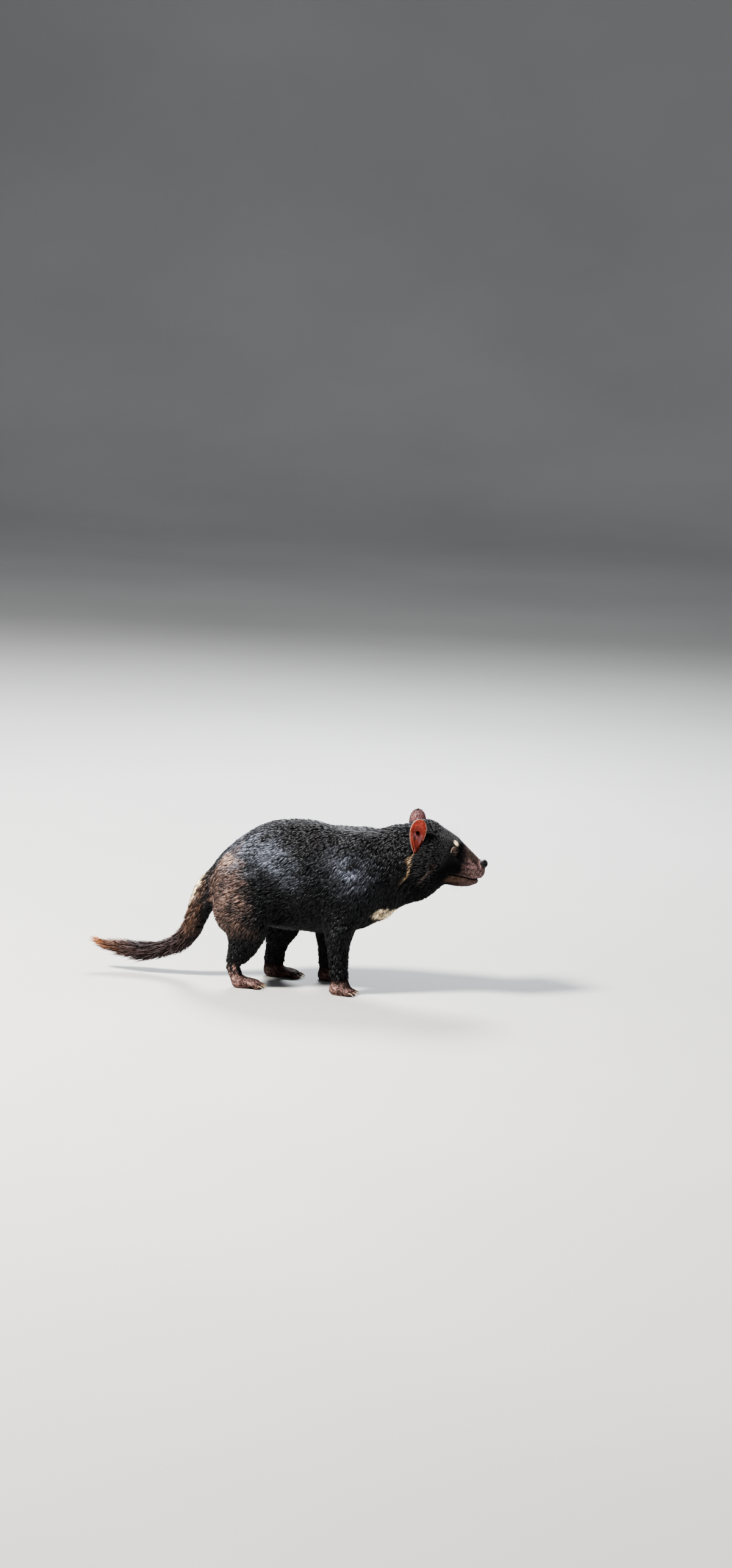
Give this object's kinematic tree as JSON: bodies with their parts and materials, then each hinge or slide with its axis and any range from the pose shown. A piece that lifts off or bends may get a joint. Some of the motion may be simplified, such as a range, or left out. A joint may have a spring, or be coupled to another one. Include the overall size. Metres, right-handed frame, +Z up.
{
  "type": "tasmanian devil",
  "caption": "Adult Tasmanian devil standing on all fours, head held level and turned a little left, one hind leg stretched back, tufted tail held low.",
  "frame": {"origin": "on the floor, under the middle of the body's box", "axes": "+X towards the nose, +Y to the animal's left, +Z up"},
  "size_m": [0.7556, 0.1724, 0.3407],
  "materials": {
    "coat": "short sleek black fur",
    "brown_coat": "short dark fur with a brown tint",
    "tail_hair": "coarse dark brown hair with reddish tips",
    "muzzle_skin": "sparsely haired pinkish brown skin",
    "foot_skin": "bare pinkish skin with pale claws",
    "ear_skin": "thin bare red skin",
    "nose_skin": "moist black skin",
    "eye": "wet dark brown eye"
  },
  "bodies": {
    "root": {"torso": "coat", "neck": "coat", "head": "coat", "muzzle": "muzzle_skin", "jaw": "muzzle_skin", "nose": "nose_skin", "eye_right": "eye", "eye_left": "eye", "ear_right": "ear_skin", "ear_left": "ear_skin", "shoulder_right": "coat", "shoulder_left": "coat", "forearm_right": "coat", "forearm_left": "coat", "forepaw_right": "foot_skin", "forepaw_left": "foot_skin", "thigh_right": "brown_coat", "thigh_left": "brown_coat", "shank_right": "coat", "shank_left": "coat", "hind_foot_right": "foot_skin", "hind_foot_left": "foot_skin", "tail_base": "brown_coat", "tail_middle": "tail_hair", "tail_tuft": "tail_hair"}
  },
  "joints": []
}
